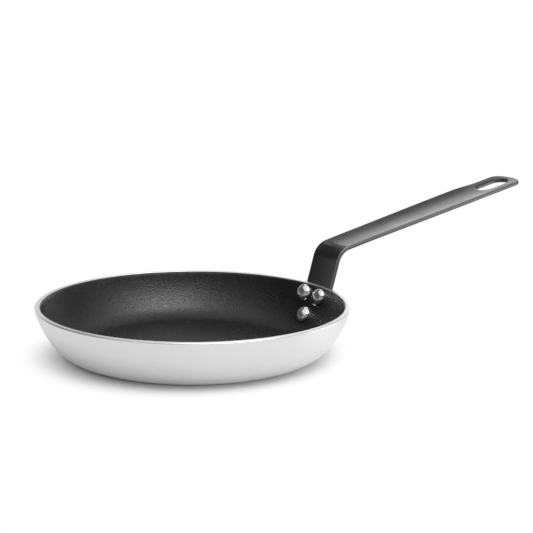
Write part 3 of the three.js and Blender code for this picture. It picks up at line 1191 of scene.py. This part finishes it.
@dataclass
class Rivets:
    """Three solid rivets, domed inside the dish and flatter on the handle's pad, in millimetres."""

    dish: Dish
    handle: StripHandle
    shank_diameter: float = 7.0
    head_diameter: float = 14.8
    head_height: float = 4.1
    tail_diameter: float = 11.5
    tail_height: float = 3.0
    pair_spacing: float = 20.4
    bed: float = 1.1  # how far the upset head is bedded into the curve of the wall
    dome_steps: int = 14
    steps_around: int = 64
    pieces: list[bpy.types.Object] = field(default_factory=list)

    def profile(self) -> list[Vector]:
        """The closed profile of one rivet, its origin on the outside of the wall, +Z into the dish.

        Returns:
            (radius, height) points from the tail to the head.
        """
        seat = self.dish.wall + self.dish.film
        clear = self.handle.seat
        under = -(clear + self.handle.thickness + clear)
        head, tail, shank = self.head_diameter / 2, self.tail_diameter / 2, self.shank_diameter / 2
        quarter = [math.pi / 2 * i / self.dome_steps for i in range(self.dome_steps + 1)]
        points = []
        for angle in reversed(quarter):
            points.append(Vector((tail * math.cos(angle), under - self.tail_height * math.sin(angle))))
        points += [Vector((tail, under + clear)), Vector((shank, under + clear))]
        points += [Vector((shank, seat - self.bed)), Vector((head, seat - self.bed))]
        for angle in quarter:
            rise = clear + self.head_height * math.sin(angle)
            points.append(Vector((head * math.cos(angle), seat + rise)))
        points[0].x = points[-1].x = 0.0
        return points

    def place(self, which: RivetPlace) -> tuple[Vector, Euler]:
        """Where one rivet's axis crosses the outside of the wall, and how it is turned.

        Args:
            which: the rivet.

        Returns:
            Its place in metres and its turn.
        """
        sideways = {
            RivetPlace.UPPER_LEFT: self.pair_spacing / 2,
            RivetPlace.UPPER_RIGHT: -self.pair_spacing / 2,
            RivetPlace.LOWER: 0.0,
        }[which]
        low = which is RivetPlace.LOWER
        height = self.handle.rivet_lower_height if low else self.handle.rivet_pair_height
        centre = self.dish.wall_centre
        angle = math.acos((centre.y - height) / self.dish.wall_radius)
        radius = self.dish.on_arc(centre, self.dish.wall_radius, angle).x
        round_z = math.asin(sideways / radius)
        place = Vector((radius * math.cos(round_z), sideways, height)) * MM
        return place, Euler((0.0, -angle, round_z), "XYZ")

    def build(self, tree: bpy.types.NodeTree, finish: PolishedRivet) -> None:
        """Set one rivet at each place.

        Args:
            tree: the tree that sets a turned piece at each point.
            finish: the rivets' finish.
        """
        points = self.profile()
        profile = profile_object("rivet_profile", points)
        places = [self.place(which) for which in RivetPlace]
        source = points_object("rivet_places", [place for place, _ in places])
        turns = source.data.attributes.new(TURN, "FLOAT_VECTOR", "POINT")
        for item, (_, turn) in zip(turns.data, places):
            item.vector = tuple(turn)
        inputs = {
            "Profile": profile,
            "Profile points": len(points),
            "Steps around": self.steps_around,
            "Material": finish.material(),
        }
        self.pieces.append(baked("rivets", source, tree, inputs))
        bpy.data.objects.remove(profile)

    def dress(self) -> None:
        """Tie the rivets to their solids and the body."""
        tie(self.pieces[0], Slot.RIVET, *(which.value for which in RivetPlace))


@dataclass(frozen=True)
class Lamp:
    """One soft box. Its place is metres to the camera's right, backwards and up from the pan's centre."""

    name: str
    place: tuple[float, float, float]
    width: float
    depth: float
    level: float  # its brightness, 1 for plain white
    aim: tuple[float, float, float] = (0.0, 0.0, 0.0)


@dataclass(frozen=True)
class Glow:
    """A soft patch of light in the room far away from the pan, or of shade if its level is below 0."""

    name: str
    level: float  # its brightness where it is full, 1 for plain white
    heights: tuple[Flat, ...]  # sines of the angles above the floor where it begins and where it is full
    azimuth: float = RIGHT  # degrees from the camera's right, anticlockwise seen from above
    spread: Flat | None = None  # cosines of the angles from there where it begins and where it is full


@dataclass
class Studio:
    """White sweep, soft light and the photograph's camera. Angles are in degrees, lengths in metres."""

    handle_azimuth: float = 33.0  # the handle's angle from the camera's right, towards the back
    distance: float = 1.3
    elevation: float = 15.019
    pan: float = 2.54  # how far the camera looks to the right of the dish's centre
    tilt: float = 2.921  # how far it looks above that centre
    roll: float = 0.472
    focal_pixels: float = 1695.2  # the photograph's focal length, in pixels of its width
    frame_pixels: int = 533
    sensor_mm: float = 36.0
    floor_colour: str = "f7f7f7"
    floor_reach: float = 12.0
    floor_gap: float = 0.0004  # how far the floor lies below the base, so that no two faces meet
    fade_start: float = 0.088  # from the pan's centre, where the sweep starts to fade to plain white
    fade_end: float = 0.135
    mirrored_share: float = 0.52  # how much of that fade the metal mirrors
    mirrored_shift: float = 0.012  # how far from the pan's centre the mirrored fade lies
    mirrored_azimuth: float = 135.0  # and which way, to the back left
    room_level: float = 0.1
    glows: tuple[Glow, ...] = (
        Glow("pale walls near the floor", 0.5, NEAR_FLOOR),
        Glow("shade on the left wall", -0.4, NEAR_FLOOR, 222.0, (0.5, 0.86)),
        Glow("right wall", 0.05, NEAR_FLOOR, RIGHT, (0.3, 0.9)),
        Glow("fill from the upper right", 0.3, ((0.2, 0.38), (0.85, 0.6)), RIGHT, (0.6, 0.85)),
        Glow("white backdrop", 0.6, ((0.85, 0.25),), BACK, (0.6, 0.92)),
        Glow("room behind the camera", 0.25, ((0.75, 0.35),), FRONT, (0.2, 0.7)),
    )
    lamps: tuple[Lamp, ...] = (
        Lamp("overhead softbox", (0.4, -0.2, 1.08), 2.7, 1.5, 0.8, (0.4, -0.2, 0.0)),
        Lamp("rear softbox", (0.42, 0.92, 1.08), 1.54, 0.76, 0.74, (0.42, 0.92, 0.0)),
        Lamp("key softbox", (0.31, -0.36, 1.05), 0.84, 0.62, 4.75),
        Lamp("backdrop panel", (0.27, 0.55, 0.105), 0.36, 0.41, 0.65, (0.27, 0.0, 0.105)),
        Lamp("side card", (0.46, 0.05, 0.05), 0.3, 0.1, 2.9, (0.2, 0.14, 0.05)),
    )

    def seen_from(self, azimuth: float, elevation: float, distance: float) -> Vector:
        """A place round the pan.

        Args:
            azimuth: degrees from the camera's right, anticlockwise seen from above.
            elevation: degrees above the floor.
            distance: metres from the pan's centre.

        Returns:
            The place in the part's frame.
        """
        around = math.radians(azimuth - self.handle_azimuth)
        up = math.radians(elevation)
        level = math.cos(up) * distance
        return Vector((math.cos(around) * level, math.sin(around) * level, math.sin(up) * distance))

    def set_camera(self) -> None:
        """Put the camera where the photograph was taken from."""
        data = bpy.data.cameras.new("photo camera")
        data.sensor_width = self.sensor_mm
        data.lens = self.focal_pixels / self.frame_pixels * self.sensor_mm
        camera = bpy.data.objects.new("photo camera", data)
        bpy.context.scene.collection.objects.link(camera)
        down = math.radians(self.tilt - self.elevation)
        aim = math.radians(BACK - self.pan - self.handle_azimuth)
        ahead = Vector(
            (math.cos(aim) * math.cos(down), math.sin(aim) * math.cos(down), math.sin(down))
        )
        side = ahead.cross(Vector((0.0, 0.0, 1.0))).normalized()
        upright = side.cross(ahead)
        lean = math.radians(self.roll)
        across = side * math.cos(lean) + upright * math.sin(lean)
        upwards = upright * math.cos(lean) - side * math.sin(lean)
        turn = Matrix((across, upwards, -ahead)).transposed().to_4x4()
        place = self.seen_from(FRONT, self.elevation, self.distance)
        camera.matrix_world = Matrix.Translation(place) @ turn
        bpy.context.scene.camera = camera

    def set_floor(self) -> None:
        """Lay a pale sweep that keeps the pan's shadow and fades to plain white further out."""
        reach = self.floor_reach
        corners = ((-reach, -reach), (reach, -reach), (reach, reach), (-reach, reach))
        mesh = bpy.data.meshes.new("sweep")
        mesh.from_pydata([(x, y, -self.floor_gap) for x, y in corners], [], [(0, 1, 2, 3)])
        material, tree, place = new_material("White paper sweep")
        rays = add_node(tree, "ShaderNodeLightPath").outputs
        mirrored_middle = self.seen_from(self.mirrored_azimuth, 0.0, self.mirrored_shift)
        white_share: Any = 0.0
        for ray, middle, most in (
            ("Is Camera Ray", Vector(), 1.0),
            ("Is Glossy Ray", mirrored_middle, self.mirrored_share),
        ):
            away = add_node(tree, "ShaderNodeVectorMath", {0: place, 1: middle}, operation="DISTANCE")
            fade = add_node(
                tree,
                "ShaderNodeMapRange",
                {
                    "Value": away.outputs["Value"],
                    "From Min": self.fade_start,
                    "From Max": self.fade_end,
                    "To Max": most,
                },
                interpolation_type="SMOOTHSTEP",
            )
            seen = add_node(tree, "ShaderNodeMath", {0: rays[ray], 1: fade}, operation="MULTIPLY")
            white_share = add_node(tree, "ShaderNodeMath", {0: white_share, 1: seen}, operation="MAXIMUM")
        paper = add_node(tree, "ShaderNodeBsdfDiffuse", {"Color": linear(self.floor_colour)})
        white = add_node(tree, "ShaderNodeEmission", {"Color": WHITE, "Strength": 1.0})
        mixed = add_node(tree, "ShaderNodeMixShader", {0: white_share, 1: paper, 2: white})
        add_node(tree, "ShaderNodeOutputMaterial", {"Surface": mixed})
        mesh.materials.append(material)
        shown("sweep", mesh)

    def set_room(self) -> None:
        """Light the room: a dim level all round and the glows, with plain white for the camera."""
        world = bpy.data.worlds.new("studio")
        bpy.context.scene.world = world
        world.use_nodes = True
        tree = world.node_tree
        tree.nodes.clear()
        way = add_node(tree, "ShaderNodeTexCoord").outputs["Generated"]
        height = add_node(tree, "ShaderNodeSeparateXYZ", {0: way}).outputs["Z"]
        level: Any = self.room_level
        for glow in self.glows:
            edges = [(height, *ends) for ends in glow.heights]
            if glow.spread:
                aim = {0: way, 1: self.seen_from(glow.azimuth, 0.0, 1.0)}
                towards = add_node(tree, "ShaderNodeVectorMath", aim, operation="DOT_PRODUCT")
                edges.append((towards.outputs["Value"], *glow.spread))
            patch: Any = glow.level
            for value, begin, full in edges:
                ease = add_node(
                    tree,
                    "ShaderNodeMapRange",
                    {"Value": value, "From Min": begin, "From Max": full},
                    interpolation_type="SMOOTHSTEP",
                )
                patch = add_node(tree, "ShaderNodeMath", {0: patch, 1: ease}, operation="MULTIPLY")
            both = {0: level, 1: patch}
            level = add_node(tree, "ShaderNodeMath", both, operation="ADD", label=glow.name)
        rays = add_node(tree, "ShaderNodeLightPath").outputs
        seen = {"Factor": rays["Is Camera Ray"], "A": level, "B": 1.0}
        strength = add_node(tree, "ShaderNodeMix", seen, data_type="FLOAT")
        backdrop = add_node(tree, "ShaderNodeBackground", {"Color": WHITE, "Strength": strength})
        add_node(tree, "ShaderNodeOutputWorld", {"Surface": backdrop})

    def set_lamps(self) -> None:
        """Hang the soft boxes, which the camera doesn't see."""
        turn = Matrix.Rotation(math.radians(-self.handle_azimuth), 4, "Z")
        for lamp in self.lamps:
            data = bpy.data.lights.new(lamp.name, "AREA")
            data.shape = "RECTANGLE"
            data.size = lamp.width
            data.size_y = lamp.depth
            data.energy = lamp.level * math.pi * lamp.width * lamp.depth
            source = bpy.data.objects.new(lamp.name, data)
            bpy.context.scene.collection.objects.link(source)
            source.visible_camera = False
            place = Vector(lamp.place)
            facing = (Vector(lamp.aim) - place).to_track_quat("-Z", "Y").to_matrix().to_4x4()
            source.matrix_world = turn @ Matrix.Translation(place) @ facing

    def build(self) -> None:
        """Set up the camera, the sweep and the light."""
        self.set_camera()
        self.set_floor()
        self.set_room()
        self.set_lamps()
        bpy.context.scene.view_settings.view_transform = "Standard"


def main() -> None:
    """Build the pan and the studio in order."""
    logging.basicConfig(level=logging.INFO)
    Studio().build()
    revolve = revolve_tree()
    dish = Dish()
    dish.build(revolve, SpunAluminium(), NonStickFilm())
    handle = StripHandle(dish)
    handle.build(BakedBlackSteel())
    rivets = Rivets(dish, handle)
    rivets.build(pattern_tree(revolve), PolishedRivet())
    for part in (dish, handle, rivets):
        part.dress()
        for piece in part.pieces:
            LOG.info("%s: %d faces", piece.name, len(piece.data.polygons))


if __name__ == "__main__":
    main()
